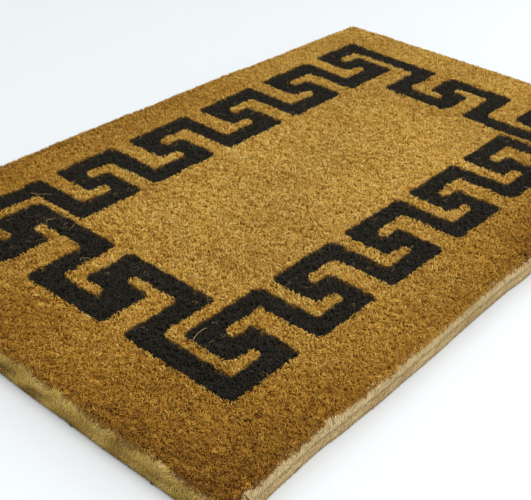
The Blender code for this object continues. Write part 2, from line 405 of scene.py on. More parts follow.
def tubes(paths, radius, taper=0.45, sides=3):
    """Closed tapering fibres round the paths.

    Returns points, quads, triangles, each point's share of the length, and the bake map.
    """
    count, levels = paths.shape[:2]
    rings = levels - 1
    share = np.linspace(0, 1, levels)
    tangent = unit(np.gradient(paths, axis=1))
    helper = np.where(np.abs(tangent[:, :1, :1]) < 0.6, [[[1.0, 0, 0]]], [[[0, 1.0, 0]]])
    side = unit(np.cross(tangent, helper))
    other = np.cross(tangent, side)
    turn = 2 * math.pi * np.arange(sides) / sides
    thick = radius[:, None, None, None] * (1 - taper * share[None, :, None, None])
    ring = side[:, :, None] * np.cos(turn)[:, None] + other[:, :, None] * np.sin(turn)[:, None]
    points = (paths[:, :, None] + thick * ring).reshape(-1, 3)
    base = np.arange(count)[:, None] * (levels * sides)
    quads = []
    for level in range(rings):
        for index in range(sides):
            after = (index + 1) % sides
            low = level * sides
            quads.append((low + index, low + after, low + sides + after, low + sides + index))
    quads = (base[:, :, None] + np.array(quads)[None]).reshape(-1, 4)
    tip = rings * sides
    caps = []
    for index in range(1, sides - 1):
        caps.append((index + 1, index, 0))
        caps.append((tip, tip + index, tip + index + 1))
    triangles = (base[:, :, None] + np.array(caps)[None]).reshape(-1, 3)
    along = np.broadcast_to(share[None, :, None], (count, levels, sides)).reshape(-1)
    return points, quads, triangles, along, strand_map(count, rings, sides)


def fibre_object(name, paths, radius, tone, material, replaced=(), taper=0.45, sides=3):
    """Fibres as one piece, with their tones."""
    points, quads, triangles, along, uv = tubes(paths, radius, taper, sides)
    tone = np.repeat(tone, paths.shape[1] * sides)
    values = {"tone": tone, "along": along, "dye": dye_at(points)}
    make_object(name, points, quads, triangles, material, replaced, values, uv)


def fibre_blocks(name, paths, radius, tone, material, replaced=(), taper=0.25):
    """Fibres as pieces of about MOST_TRIANGLES triangles at most, cut along X. Fibres
    as pieces small enough to export whole, cut along X.
    """
    order = np.argsort(paths[:, 0, 0], kind="stable")
    per = 6 * (paths.shape[1] - 1) + 2
    blocks = math.ceil(len(paths) * per / MOST_TRIANGLES)
    for number, block in enumerate(np.array_split(order, blocks), start=1):
        fibre_object(f"{name}_{number:02d}", paths[block], radius[block], tone[block],
                     material, replaced, taper)


def strand_map(count, rings, sides):
    """A cell of the bake map for each fibre: round it along U, up it along V.

    The numbers are places in the cell that keep sides, caps and cells apart.
    """
    across = math.ceil(math.sqrt(count))
    cell = np.stack([np.arange(count) % across, np.arange(count) // across], 1)
    quads = []
    for level in range(rings):
        low = 0.08 + 0.84 * level / rings
        high = 0.08 + 0.84 * (level + 1) / rings
        for index in range(sides):
            left = 0.1 + 0.8 * index / sides
            right = 0.1 + 0.8 * (index + 1) / sides
            quads.append(((left, low), (right, low), (right, high), (left, high)))
    caps = []
    for index in range(1, sides - 1):
        left = 0.2 + 0.6 * (index - 1) / (sides - 2)
        right = 0.2 + 0.6 * index / (sides - 2)
        caps.append(((right, 0.02), (left, 0.02), (0.5, 0.07)))
        caps.append(((0.5, 0.93), (left, 0.98), (right, 0.98)))
    quads = (cell[:, None, None] + np.array(quads)[None]).reshape(-1, 2)
    caps = (cell[:, None, None] + np.array(caps)[None]).reshape(-1, 2)
    return np.concatenate([quads, caps]) / across


# ---- materials


class Nodes:
    """Short calls to add and link shader nodes."""

    def __init__(self, name):
        self.material = bpy.data.materials.new(name)
        self.material.use_nodes = True
        self.tree = self.material.node_tree
        self.shader = self.tree.nodes["Principled BSDF"]

    def add(self, kind, **settings):
        node = self.tree.nodes.new(kind)
        for key, value in settings.items():
            setattr(node, key, value)
        return node

    def link(self, source, target):
        self.tree.links.new(source, target)

    def attribute(self, name):
        return self.add("ShaderNodeAttribute", attribute_name=name).outputs["Fac"]

    def noise(self, scale, detail=3.0, stretch=None):
        place = self.add("ShaderNodeTexCoord").outputs["Object"]
        if stretch:
            mapping = self.add("ShaderNodeMapping")
            mapping.inputs["Scale"].default_value = stretch
            self.link(place, mapping.inputs["Vector"])
            place = mapping.outputs["Vector"]
        node = self.add("ShaderNodeTexNoise")
        node.inputs["Scale"].default_value = scale
        node.inputs["Detail"].default_value = detail
        self.link(place, node.inputs["Vector"])
        return node.outputs["Fac"]

    def ramp(self, value, stops):
        node = self.add("ShaderNodeValToRGB")
        ramp = node.color_ramp
        while len(ramp.elements) < len(stops):
            ramp.elements.new(0.5)
        for element, (place, colour) in zip(ramp.elements, stops):
            element.position = place
            element.color = (*colour, 1.0)
        self.link(value, node.inputs["Fac"])
        return node.outputs["Color"]

    def mix(self, kind, amount, first, second):
        node = self.add("ShaderNodeMix", data_type="RGBA", blend_type=kind)
        factor, colour_a, colour_b = (node.inputs[index] for index in (0, 6, 7))
        for socket, value in ((factor, amount), (colour_a, first), (colour_b, second)):
            if hasattr(value, "is_output"):
                self.link(value, socket)
            else:
                socket.default_value = value
        return node.outputs[2]

    def bump(self, height, strength, distance):
        node = self.add("ShaderNodeBump")
        node.inputs["Strength"].default_value = strength
        node.inputs["Distance"].default_value = distance
        self.link(height, node.inputs["Height"])
        self.link(node.outputs["Normal"], self.shader.inputs["Normal"])


# Blotches across the mat, as factors of the colour.
FIBRE_BLOTCH = ((0.3, (0.88, 0.86, 0.82)), (0.7, (1.07, 1.07, 1.07)))
YARN_BLOTCH = ((0.3, (0.82, 0.80, 0.76)), (0.7, (1.1, 1.1, 1.1)))


def fibre_material(name, stops, painted_root_shade, roughness=0.75, specular=0.12, dyed=None):
    """Coir fibre: its own tone, with painted shade towards the root, and blotches across the mat.

    dyed has the stops of the dyed parts.
    """
    nodes = Nodes(name)
    colour = nodes.ramp(nodes.attribute("tone"), stops)
    blotch = nodes.ramp(nodes.noise(9.0, 4.0), FIBRE_BLOTCH)
    colour = nodes.mix("MULTIPLY", 1.0, colour, blotch)
    if dyed:
        dye = nodes.attribute("dye")
        colour = nodes.mix("MIX", dye, colour, nodes.ramp(nodes.attribute("tone"), dyed))
    # Painted shade: each fibre darkens towards its root, where shade falls deep in the pile.
    shade = nodes.ramp(nodes.attribute("along"), ((0.0, painted_root_shade), (0.75, (1.0, 1.0, 1.0))))
    colour = nodes.mix("MULTIPLY", 1.0, colour, shade)
    nodes.link(colour, nodes.shader.inputs["Base Color"])
    nodes.shader.inputs["Roughness"].default_value = roughness
    nodes.shader.inputs["Specular IOR Level"].default_value = specular
    return nodes.material


def yarn_material(name, dark, light):
    """Spun coir yarn: fine fibre streaks, blotches and a fibrous bump."""
    nodes = Nodes(name)
    streaks = nodes.noise(420.0, 6.0, stretch=(1.0, 1.0, 1.6))
    colour = nodes.ramp(streaks, ((0.32, dark), (0.68, light)))
    blotch = nodes.ramp(nodes.noise(30.0, 3.0), YARN_BLOTCH)
    colour = nodes.mix("MULTIPLY", 1.0, colour, blotch)
    nodes.link(colour, nodes.shader.inputs["Base Color"])
    nodes.bump(streaks, strength=0.6, distance=0.6 * MM)
    nodes.shader.inputs["Roughness"].default_value = 0.85
    nodes.shader.inputs["Specular IOR Level"].default_value = 0.2
    return nodes.material


# Colours by tone, from 0 to 1.
GOLD = (
    (0.0, (0.17, 0.070, 0.010)),
    (0.3, (0.44, 0.230, 0.027)),
    (0.55, (0.69, 0.44, 0.094)),
    (0.8, (0.80, 0.60, 0.185)),
    (1.0, (0.90, 0.76, 0.36)),
)
BLACK = (
    (0.0, (0.013, 0.011, 0.007)),
    (0.7, (0.031, 0.027, 0.019)),
    (1.0, (0.095, 0.084, 0.058)),
)
CREAM = (
    (0.0, (0.27, 0.13, 0.055)),
    (0.3, (0.47, 0.345, 0.165)),
    (0.6, (0.62, 0.50, 0.275)),
    (1.0, (0.76, 0.66, 0.43)),
)
OLIVE = (
    (0.0, (0.24, 0.135, 0.026)),
    (0.5, (0.50, 0.340, 0.078)),
    (1.0, (0.70, 0.52, 0.150)),
)
PALE = ((0.0, (0.36, 0.23, 0.07)), (1.0, (0.68, 0.50, 0.19)))

# Painted shade at each kind of fibre's root, deep in the pile, as a factor of its colour.
GOLD_ROOT_PAINTED_SHADE = (0.60, 0.45, 0.26)
BLACK_ROOT_PAINTED_SHADE = (0.62, 0.54, 0.46)
FLANK_ROOT_PAINTED_SHADE = (0.8, 0.74, 0.66)
STRAY_ROOT = (1.0, 1.0, 1.0)

PILE_GOLD = fibre_material("coir_pile_gold", GOLD, GOLD_ROOT_PAINTED_SHADE, dyed=BLACK)
PILE_BLACK = fibre_material("coir_pile_black", GOLD, BLACK_ROOT_PAINTED_SHADE, dyed=BLACK)
FLANK_CREAM = fibre_material("coir_flank_cream", CREAM, FLANK_ROOT_PAINTED_SHADE)
FLANK_OLIVE = fibre_material("coir_flank_olive", OLIVE, FLANK_ROOT_PAINTED_SHADE)
STRAY = fibre_material("coir_stray", PALE, STRAY_ROOT, roughness=0.5, specular=0.3)
YARN = yarn_material("coir_yarn_brown", (0.24, 0.14, 0.05), (0.58, 0.40, 0.17))
EDGE_YARN = yarn_material("coir_yarn_pale", (0.40, 0.27, 0.11), (0.72, 0.58, 0.32))
TWINE = yarn_material("coir_twine_dark", (0.025, 0.016, 0.010), (0.10, 0.065, 0.035))


# ---- pile


# The pile's CAD nodes in the order of the dye map's regions: slot, material and top.
REGIONS = (
    ("pile_outer_border", "coir_pile", PILE_GOLD, PILE_TOP),
    ("pile_key_band", "coir_pile_dyed", PILE_BLACK, KEY_TOP),
    ("pile_centre_field", "coir_pile", PILE_GOLD, PILE_TOP),
)


def painted_light_falloff(x, y):
    """The slow change of tone over the mat, mostly painted light falloff: painted shade browns
    the front, left and back edges and dims the far right. A slow random wave is added.

    The front edge's painted shade is stronger towards the right, and the back edge's fades
    there.
    """
    front = np.exp(-(y + HALF_Y) / 0.055) * (0.24 + 0.30 * smooth_step(x, -0.10, 0.10))
    left = 0.40 * np.exp(-(x + HALF_X) / 0.110)
    back = 0.26 * (np.exp(-(HALF_Y - y) / 0.050) * (1 - smooth_step(x, -0.05, 0.30)))
    far = 0.07 * smooth_step(x + y, 0.0, 0.35)
    return 0.06 - front - left - back - far + 0.03 * waves(x, y, 0.09, 11)


# Pits that can be seen in the photo: place and radius, in millimetres.
SEEN_PITS = (
    (-268, -226, 5.0), (-262, -223, 3.5), (-357, -226, 5.0), (-363, -222, 3.5),
    (-380, -11, 2.4), (-379, -135, 3.4), (-379, -144, 2.6), (-380, -157, 2.4),
    (-374, -52, 2.0), (-215, -229, 2.4), (-110, -231, 2.6), (2, -217, 2.4),
)


def pits(x, y):
    """How deep the pile is parted at each point: small gaps, most of them by the edges."""
    rng = np.random.default_rng(SEED + 5)
    place, outward = round_the_mat(rng.uniform(0, OUTLINE, EDGE_PITS))
    place = place - outward * rng.uniform(2.5, 9.0, (EDGE_PITS, 1)) * MM
    loose = rng.uniform(-1, 1, (LOOSE_PITS, 2)) * (HALF_X, HALF_Y)
    seen = np.array(SEEN_PITS)
    middles = np.concatenate([place, loose, seen[:, :2] * MM])
    edge_radii = rng.uniform(1.0, 2.2, EDGE_PITS)
    loose_radii = rng.uniform(0.9, 1.6, LOOSE_PITS)
    radii = np.concatenate([edge_radii, loose_radii, seen[:, 2]]) * MM
    depth = np.zeros(len(x))
    for (middle_x, middle_y), radius in zip(middles, radii):
        near = np.flatnonzero((np.abs(x - middle_x) < radius) & (np.abs(y - middle_y) < radius))
        away = np.hypot(x[near] - middle_x, y[near] - middle_y) / radius
        depth[near] = np.maximum(depth[near], np.clip(1 - away**2, 0, 1))
    return depth


def tuft_fibres(per_tuft, seed):
    """Roots, leans and tones of pile fibres: tufts on a loose grid, fibres splayed in each."""
    grid_rng = np.random.default_rng(SEED)
    columns = np.arange(-HALF_X, HALF_X, TUFT_SPACING)
    rows = np.arange(-HALF_Y, HALF_Y, TUFT_SPACING * 0.9)
    x, y = (grid.ravel() for grid in np.meshgrid(columns, rows))
    x = x + grid_rng.normal(0, TUFT_SCATTER, len(x)) * TUFT_SPACING
    y = y + grid_rng.normal(0, TUFT_SCATTER, len(y)) * TUFT_SPACING
    lean_x = grid_rng.normal(0, TUFT_LEAN, len(x)) + TUFT_LEAN_WAVE * waves(x, y, 0.012, 1)
    lean_y = grid_rng.normal(0, TUFT_LEAN, len(x)) + TUFT_LEAN_WAVE * waves(x, y, 0.012, 2)
    lively = 0.80 + 0.38 * smooth_step(edge_distance(x, y), 0.02, 0.11)
    tone = TUFT_TONE * grid_rng.normal(size=len(x)) + TUFT_TONE_WAVE * waves(x, y, 0.011, 3)
    tone = 0.5 + lively * tone
    rise = lively * TUFT_RISE * grid_rng.normal(size=len(x))
    rise = rise + TUFT_RISE_WAVE * waves(x, y, 0.03, 4)
    x, y, lean_x, lean_y, tone, rise = (
        np.repeat(value, per_tuft) for value in (x, y, lean_x, lean_y, tone, rise)
    )
    rng = np.random.default_rng(seed)
    count = len(x)
    off_x = rng.normal(0, FIBRE_SCATTER, count) * TUFT_SPACING
    off_y = rng.normal(0, FIBRE_SCATTER, count) * TUFT_SPACING
    lean_x = lean_x + rng.normal(0, FIBRE_LEAN, count) + FIBRE_SPLAY * off_x / MM
    lean_y = lean_y + rng.normal(0, FIBRE_LEAN, count) + FIBRE_SPLAY * off_y / MM
    x = x + off_x
    y = y + off_y
    parted = pits(x, y)
    # Painted light falloff over the mat, and painted shade in the pits.
    tone = tone + painted_light_falloff(x, y) + rng.normal(0, FIBRE_TONE, count) - PIT_PAINTED_SHADE * parted
    return {
        "x": x,
        "y": y,
        "lean": np.arctan(np.hypot(lean_x, lean_y)),
        "turn": np.arctan2(lean_y, lean_x),
        "tone": np.clip(tone, 0, 1),
        "rise": rise + rng.normal(0, FIBRE_RISE, count) * MM - PIT_DEPTH * parted,
        "thick": rng.uniform(0.75, 1.25, count),
        "rng": rng,
    }


def pile_paths(fibres, bend, twist, length, rings):
    """The fibres' paths with their highest points at the pile's top, lower at its rim.

    Returns the paths, their regions, and which of them stand inside the rim.
    """
    x, y = fibres["x"], fibres["y"]
    roots = np.stack([x, y, np.zeros(len(x))], 1)
    paths = grow(roots, fibres["lean"], fibres["turn"], bend, twist, length, rings)
    middle = paths[:, 1:, :2].mean(axis=1)
    depth = edge_distance(middle[:, 0], middle[:, 1])
    inset = np.clip(SHOULDER - depth, 0, SHOULDER)
    region = region_of(middle[:, 0], middle[:, 1])
    top = np.where(region == IN_KEY, KEY_TOP + 0.4 * MM, PILE_TOP)
    top = top + fibres["rise"] - RIM_DROP * inset**2 / MM
    paths[:, :, 2] += (top - paths[:, :, 2].max(axis=1))[:, None]
    at_end = np.abs(x) - HALF_X > np.abs(y) - HALF_Y
    wobble = np.where(at_end, 2.0, 1.0) * EDGE_WOBBLE * waves(x, y, 0.02, 5)
    rim = np.where(at_end, RIM_AT_ENDS + LOBE_WIDTH * end_lobes(x, y), RIM_AT_LONG_SIDES)
    return paths, region, depth + wobble > rim * MM


def make_pile():
    """Upright tips and curled fibres of all three regions, and the felt under them."""
    tips = tuft_fibres(TIPS_PER_TUFT, SEED + 1)
    count = len(tips["x"])
    bend = tips["rng"].normal(0.5, 0.35, count)
    twist = tips["rng"].normal(0, 0.6, count)
    length = TIP_LENGTH * tips["rng"].uniform(0.85, 1.15, count)
    pile_pieces("tips", tips, pile_paths(tips, bend, twist, length, 2))
    curls = tuft_fibres(CURLS_PER_TUFT, SEED + 2)
    count = len(curls["x"])
    bend = curls["rng"].uniform(1.6, 3.4, count)
    twist = curls["rng"].normal(0, 2.2, count)
    length = CURL_LENGTH * curls["rng"].uniform(0.75, 1.2, count)
    pile_pieces("curls", curls, pile_paths(curls, bend, twist, length, 4))
    for number, (node, slot, material, top) in enumerate(REGIONS):
        make_felt(node, material, number, top)


def pile_pieces(kind, fibres, placed):
    """Splits the fibres by region and makes their pieces."""
    paths, region, kept = placed
    radius = FIBRE_RADIUS * fibres["thick"]
    for number, (node, slot, material, _) in enumerate(REGIONS):
        mine = kept & (region == number)
        fibre_blocks(f"{node}_{kind}", paths[mine], radius[mine], fibres["tone"][mine],
                     material, (node,))


def make_felt(node, material, number, top):
    """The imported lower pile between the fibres: a closed body with an uneven top."""
    columns = math.ceil(2 * HALF_X / FELT_CELL)
    rows = math.ceil(2 * HALF_Y / FELT_CELL)
    edge_x = np.linspace(-HALF_X + FELT_INSET, HALF_X - FELT_INSET, columns + 1)
    edge_y = np.linspace(-HALF_Y + FELT_INSET, HALF_Y - FELT_INSET, rows + 1)
    middle_x = (edge_x[1:] + edge_x[:-1]) / 2
    middle_y = (edge_y[1:] + edge_y[:-1]) / 2
    grid_x, grid_y = (grid.ravel() for grid in np.meshgrid(middle_x, middle_y))
    mine = (region_of(grid_x, grid_y) == number) & (edge_distance(grid_x, grid_y) > FELT_RIM)
    mine = mine.reshape(rows, columns)
    place_x, place_y = (grid.ravel() for grid in np.meshgrid(edge_x, edge_y))
    inset = np.clip(SHOULDER - edge_distance(place_x, place_y), 0, SHOULDER)
    level = top - FELT_DEPTH + 0.5 * MM * waves(place_x, place_y, 0.009, 8) - 0.8 * inset
    upper = np.stack([place_x, place_y, level], 1)
    lower = np.stack([place_x, place_y, np.full(len(place_x), PILE_BOTTOM)], 1)
    points = np.concatenate([upper, lower])
    under = len(upper)
    wide = columns + 1
    row, column = np.nonzero(mine)
    corner = row * wide + column
    tops = np.stack([corner, corner + 1, corner + wide + 1, corner + wide], 1)
    faces = [tops, tops[:, ::-1] + under]
    padded = np.pad(mine, 1)
    walls = (
        (padded[:-2, 1:-1], 0, 1),
        (padded[1:-1, 2:], 1, wide + 1),
        (padded[2:, 1:-1], wide + 1, wide),
        (padded[1:-1, :-2], wide, 0),
    )
    for neighbour, first, second in walls:
        row, column = np.nonzero(mine & ~neighbour)
        corner = row * wide + column
        here, there = corner + first, corner + second
        faces.append(np.stack([here + under, there + under, there, here], 1))
    quads = np.concatenate(faces)
    used, quads = np.unique(quads, return_inverse=True)
    points = points[used]
    rng = np.random.default_rng(SEED + number)
    values = {
        "tone": np.clip(FELT_TONE + 0.1 * rng.normal(size=len(points)), 0, 1),
        # A low share along gives the felt most of the fibres' painted root shade.
        "along": np.full(len(points), FELT_PAINTED_SHADE_ALONG),
        "dye": dye_at(points),
    }
    make_object(f"{node}_felt", points, quads.reshape(-1, 4), NO_TRIANGLES, material,
                (node,), values)


# ---- flanks


def flank_inset(level):
    """How far in from the outline the flank's surface lies: it curls in from 16 mm up."""
    shoulder = np.clip((level - 16 * MM) / (8 * MM), 0, 1)
    return 0.3 * MM + 3.4 * MM * shoulder**2


# The flank felt's outer face, by level, and its back: level and inset. In millimetres.
FLANK_LEVELS = (0.8, 5.0, 9.8, 12.0, 14.5, 17.0, 19.0, 20.4)
FLANK_BACK = ((20.4, 6.0), (9.8, 6.0), (9.8, 1.6), (0.8, 1.6))


def make_flank_felt():
    """A closed ring of packed fibre behind the flank fibres, round the whole border."""
    steps = 1400
    travel = np.linspace(0, OUTLINE, steps, endpoint=False)
    place, outward = round_the_mat(travel)
    rows = []
    for number, level in enumerate(np.array(FLANK_LEVELS) * MM):
        rough = 0.25 * MM * waves(travel, np.full(steps, level), 0.006, 30 + number)
        inward = flank_inset(level) + 0.6 * MM + rough
        rows.append(np.column_stack([place - outward * inward[:, None], np.full(steps, level)]))
    for level, inward in FLANK_BACK:
        rows.append(np.column_stack([place - outward * (inward * MM), np.full(steps, level * MM)]))
    points = np.stack(rows, 1).reshape(-1, 3)
    ring = len(rows)
    here = np.arange(steps)[:, None] * ring + np.arange(ring)
    there = np.roll(here, -1, axis=0)
    quads = np.stack([here, there, np.roll(there, -1, axis=1), np.roll(here, -1, axis=1)], 2)
    long_side = np.abs(outward[:, 1]) > 0.7
    tone = np.repeat(np.where(long_side, 0.55, 0.35), ring)
    values = {"tone": tone, "along": np.full(len(tone), 0.8)}
    make_object("pile_border_flank_felt", points, quads.reshape(-1, 4), NO_TRIANGLES,
                FLANK_CREAM, ("pile_outer_border",), values)


def flank_grid(lowest, rng):
    """Places, outward directions and heights of flank fibres on a loose grid."""
    columns = np.arange(0, OUTLINE, FLANK_SPACING)
    rows = np.arange(lowest, PILE_TOP - 4.4 * MM, FLANK_SPACING * 1.1)
    travel, level = (grid.ravel() for grid in np.meshgrid(columns, rows))
    travel = np.clip(travel + rng.normal(0, 0.5, len(travel)) * FLANK_SPACING, 0, OUTLINE)
    level = np.maximum(level + rng.normal(0, 0.5, len(level)) * FLANK_SPACING, lowest)
    place, outward = round_the_mat(travel)
    return travel, level, place, outward


def flank_ways(rng, travel, level, front, on_long, along, outward):
    """Directions of flank fibres: slanted up the long sides in two bands, swayed on the ends."""
    slant = np.where(front, HATCH, -HATCH)
    slant = np.where(level < BAND_LEVEL, 1.3 * slant, slant)
    sway = np.where(on_long, slant, 0.35 + 0.8 * waves(travel, level, 0.035, 44))
    sway = sway + rng.normal(0, np.where(on_long, 0.12, 0.34), len(level))
    proud = np.abs(rng.normal(0.04, 0.06, len(level))) * (1 - smooth_step(level, 0.010, 0.018))
    sideways = along * sway[:, None] + outward * proud[:, None]
    return unit(np.column_stack([sideways, np.ones(len(level))]))


def flank_lengths(rng, travel, level, climb, on_long, lobe):
    """Lengths of flank fibres, none past the flank's ragged top or its own band's.

    climb is a fibre's rise over its length.
    """
    count = len(travel)
    length = FLANK_LENGTH * rng.uniform(0.7, 1.2, count)
    ragged = 0.6 * MM * waves_along(travel, 0.011, 45) + 1.0 * MM * waves_along(travel, 0.04, 47)
    ragged = np.where(on_long, 0.8, 1.9) * ragged
    top = PILE_TOP - np.where(on_long, 2.2, 1.8) * MM + ragged + rng.normal(0, 0.5, count) * MM
    top = top + LOBE_HEIGHT * lobe
    length = np.minimum(length, np.maximum(top - level, 1.2 * MM) / climb)
    below = on_long & (level < BAND_LEVEL)
    banded = np.minimum(length, (BAND_LEVEL + 1.8 * MM - level) / climb)
    return np.where(below, banded, length)


def flank_tones(rng, travel, level, on_long, lobe):
    """Tones of flank fibres: streaks and a pale stripe on the ends, a dark line between bands
    that is painted shade and partly darker fibre, and painted shade at the top.
    """
    streak = waves(0.5 * travel - 1.1 * level, 0.2 * travel, 0.013, 46)
    tone = np.where(on_long, 0.50, 0.52) + np.where(on_long, 0.05, 0.32) * streak
    tone = tone + rng.normal(0, 0.07, len(level))
    stripe = smooth_step(level, 0.005, 0.013) - smooth_step(level, 0.016, 0.021)
    tone = tone + np.where(on_long, 0, 0.20 * stripe - 0.09)
    # Painted shade in the gap between the long sides' two bands, partly darker fibre: a dark line
    # at BAND_LEVEL.
    wavy_level = level + 0.8 * MM * waves_along(travel, 0.05, 48)
    line = np.exp(-((wavy_level - BAND_LEVEL) / (0.6 * MM)) ** 2)
    below = on_long & (level < BAND_LEVEL)
    tone = tone - np.where(on_long, 0.22 * line, 0) - np.where(below, 0.16, 0)
    # Painted shade at the flank's top, weaker where pale lobes lap over.
    painted_top_shade = smooth_step(level, PILE_TOP - 10 * MM, PILE_TOP - 5 * MM)
    return tone - np.where(on_long, 0.14, 0.36) * painted_top_shade * (1 - 0.5 * lobe)


def make_flank_fibres():
    """Fibres that lie up the flanks: pale and slanted on the long sides, olive on the ends."""
    rng = np.random.default_rng(SEED + 40)
    travel, level, place, outward = flank_grid(FLANK_LOWEST, rng)
    count = len(travel)
    on_long = np.abs(outward[:, 1]) + rng.normal(0, 0.1, count) > 0.7
    along = np.stack([-outward[:, 1], outward[:, 0]], 1)
    lobe = np.where(on_long, 0, end_lobes(place[:, 0], place[:, 1]))
    way = flank_ways(rng, travel, level, place[:, 1] < 0, on_long, along, outward)
    length = flank_lengths(rng, travel, level, way[:, 2], on_long, lobe)
    share = np.linspace(0, 1, 3)
    inset = flank_inset(level)[:, None]
    root = np.column_stack([place - outward * (inset + 0.2 * MM), level])
    paths = root[:, None] + way[:, None] * (length[:, None] * share)[:, :, None]
    paths[:, :, :2] -= outward[:, None] * (flank_inset(paths[:, :, 2]) - inset)[:, :, None]
    curl = rng.normal(0, 0.30, (count, 1, 1)) * MM * share[None, :, None] ** 2
    paths[:, :, :2] += along[:, None] * curl
    bulge = 0.5 * MM * np.sin(math.pi * np.clip(level / BAND_LEVEL, 0, 1))
    paths[:, :, :2] += (outward * np.where(on_long, bulge, 0.6 * bulge)[:, None])[:, None]
    tone = np.clip(flank_tones(rng, travel, level, on_long, lobe), 0, 1)
    radius = FLANK_RADIUS * rng.uniform(0.8, 1.3, count)
    for name, mine, material in (
        ("pile_border_flank_long", on_long, FLANK_CREAM),
        ("pile_border_flank_end", ~on_long, FLANK_OLIVE),
    ):
        fibre_blocks(name, paths[mine], radius[mine], tone[mine], material,
                     ("pile_outer_border",), 0.3)


def make_rim_fibres():
    """Pile fibres that fall over the rim and hide the top of the flank fibres."""
    rng = np.random.default_rng(SEED + 42)
    travel = rng.uniform(0, OUTLINE, RIM_FIBRES)
    place, outward = round_the_mat(travel)
    count = len(travel)
    fallen = rng.uniform(0, 1, count)
    on_end = np.abs(outward[:, 0]) > 0.7
    level = PILE_TOP - (1.9 + 1.4 * fallen) * MM + 0.5 * MM * waves_along(travel, 0.015, 43)
    inward = 4.0 - 1.2 * fallen + np.where(on_end, 1.4, 0)
    roots = np.column_stack([place - outward * inward[:, None] * MM, level])
    turn = np.arctan2(outward[:, 1], outward[:, 0]) + rng.normal(0, 0.7, count)
    lean = 0.8 + 0.6 * fallen + rng.normal(0, 0.15, count)
    length = rng.uniform(2.0, 3.2, count) * MM
    bend = rng.uniform(0.3, 1.0, count)
    twist = rng.normal(0, 0.6, count)
    paths = grow(roots, lean, turn, bend, twist, length, 3)
    kept = pits(roots[:, 0], roots[:, 1]) < 0.25
    kept &= ~on_end | (end_lobes(place[:, 0], place[:, 1]) < 0.5)
    clumps = 0.10 * waves_along(travel, 0.006, 49)
    # The painted light falloff over the mat reaches these rim fibres too.
    tone = 0.47 + clumps + painted_light_falloff(place[:, 0], place[:, 1]) + rng.normal(0, 0.06, count)
    radius = FIBRE_RADIUS * rng.uniform(0.7, 1.0, count)
    fibre_blocks("pile_border_rim", paths[kept], radius[kept], np.clip(tone[kept], 0, 1),
                 PILE_GOLD, ("pile_outer_border",))


# ---- yarns


def strand_paths(centre, across, radius, strands, pitch):
    """Helical paths of the strands of a twisted yarn whose middle runs level through centre."""
    steps = np.linalg.norm(np.diff(centre, axis=0), axis=1)
    travel = np.concatenate([[0], np.cumsum(steps)])
    upward = np.array((0, 0, 1.0))
    found = []
    for number in range(strands):
        angle = 2 * math.pi * (travel / pitch + number / strands)
        turned = np.outer(np.cos(angle), across) + np.outer(np.sin(angle), upward)
        found.append(centre + radius * turned)
    return np.stack(found)


def twisted(name, start, end, radius, strands, pitch, material, replaced, steps, sides):
    """A straight level yarn of twisted strands, with so many steps in each turn."""
    start, end = np.array(start), np.array(end)
    length = np.linalg.norm(end - start)
    count = max(2, round(length / pitch * steps))
    centre = start + np.outer(np.linspace(0, 1, count + 1), end - start)
    across = np.cross((end - start) / length, (0, 0, 1.0))
    thick = radius * (0.50 if strands == 2 else 0.54)
    paths = strand_paths(centre, across, radius - thick, strands, pitch)
    rng = np.random.default_rng(abs(int(start[1] * 1e5)) + SEED)
    paths += rng.normal(0, 0.04, paths.shape) * radius
    fibre_object(name, paths, np.full(strands, thick), np.full(strands, 0.5), material,
                 replaced, 0.0, sides)


def cord_in_box(name, label, axis, *settings, radius=None):
    """A twisted yarn that stands for a CAD cord, along an axis through its box's middle."""
    low, high = box_of(name)
    start, end = (low + high) / 2, (low + high) / 2
    start[axis], end[axis] = low[axis], high[axis]
    strands, pitch, material, slot, steps, sides = settings
    twisted(f"{name}_{label}", start, end, radius or (high[2] - low[2]) / 2, strands, pitch,
            material, (name,), steps, sides)


def nodes_named(start):
    return sorted(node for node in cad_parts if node.startswith(start))


def make_edges():
    """Rope-laid cords round the four sides of the weave."""
    for name, axis in (
        ("selvedge_cord_front", 0),
        ("selvedge_cord_back", 0),
        ("end_cord_left", 1),
        ("end_cord_right", 1),
    ):
        cord_in_box(name, "rope", axis, 3, 10.5 * MM, EDGE_YARN, "coir_edge_cord", 8, 6)


def make_chains():
    """Each flat warp chain as two fine cords laid side by side."""
    for name in nodes_named("warp_chain"):
        low, high = box_of(name)
        radius = (high[2] - low[2]) / 2
        for side, y in (("a", low[1] + radius), ("b", high[1] - radius)):
            twisted(f"{name}_{side}", (low[0], y, radius), (high[0], y, radius), radius, 2,
                    8.0 * MM, YARN, (name,), 4, 5)


def make_stuffers():
    for name in nodes_named("stuffer_warp"):
        cord_in_box(name, "yarn", 0, 2, 10.0 * MM, YARN, "coir_yarn", 4, 4)


def make_weft():
    """Close weft picks that ride over the chains and sag between them."""
    low, high = box_of("weft_yarn")
    chains = sorted(box_of(node)[0][1] for node in nodes_named("warp_chain"))
    pitch = chains[1] - chains[0]
    chain_low, chain_high = box_of("warp_chain_01")
    first = chains[0] + (chain_high[1] - chain_low[1]) / 2
    radius = 1.5 * MM
    xs = np.arange(low[0] + radius, high[0] - radius, 4.0 * MM)
    ys = np.linspace(low[1], high[1], 81)
    over_chain = 0.5 + 0.5 * np.cos(2 * math.pi * (ys - first) / pitch)
    rng = np.random.default_rng(SEED + 60)
    paths = np.zeros((len(xs), len(ys), 3))
    paths[:, :, 0] = xs[:, None] + rng.normal(0, 0.25, (len(xs), 1)) * MM
    paths[:, :, 0] += 0.35 * MM * np.sin(ys / 0.021 + rng.uniform(0, 6, (len(xs), 1)))
    paths[:, :, 1] = ys
    paths[:, :, 2] = 3.1 * MM + 2.0 * MM * over_chain
    tone = rng.uniform(0.3, 0.7, len(xs))
    fibre_object("weft_yarn_picks", paths, np.full(len(xs), radius), tone,
                 YARN, ("weft_yarn",), 0.0, 5)


